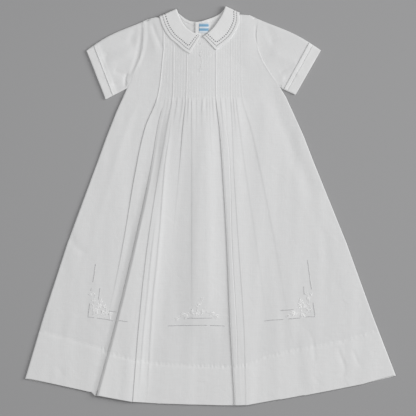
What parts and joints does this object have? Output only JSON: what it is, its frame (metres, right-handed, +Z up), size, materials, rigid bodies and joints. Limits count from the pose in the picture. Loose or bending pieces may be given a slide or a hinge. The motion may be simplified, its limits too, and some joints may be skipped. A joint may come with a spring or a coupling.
{
  "type": "christening gown laid flat",
  "caption": "Newborn's white christening gown laid flat on its back, with a tucked chest, pointed flat collar, short sleeves and a long skirt in soft folds.",
  "frame": {"origin": "middle of the gown's box, on the surface it lies on", "axes": "+X to the right of the gown as seen from the front, +Y towards its shoulders, +Z up from the surface"},
  "size_m": [0.5716, 0.6151, 0.0074],
  "materials": {
    "cloth": "fine plain white cotton batiste, pressed, soft sheen",
    "label": "smooth white woven ribbon",
    "button": "pearly white"
  },
  "bodies": {
    "root": {"front": "cloth", "back_left": "cloth", "back_right": "cloth", "sleeve_left": "cloth", "sleeve_right": "cloth", "collar_left": "cloth", "collar_right": "cloth", "label": "label", "button_1": "button", "button_2": "button", "button_3": "button"}
  },
  "joints": []
}
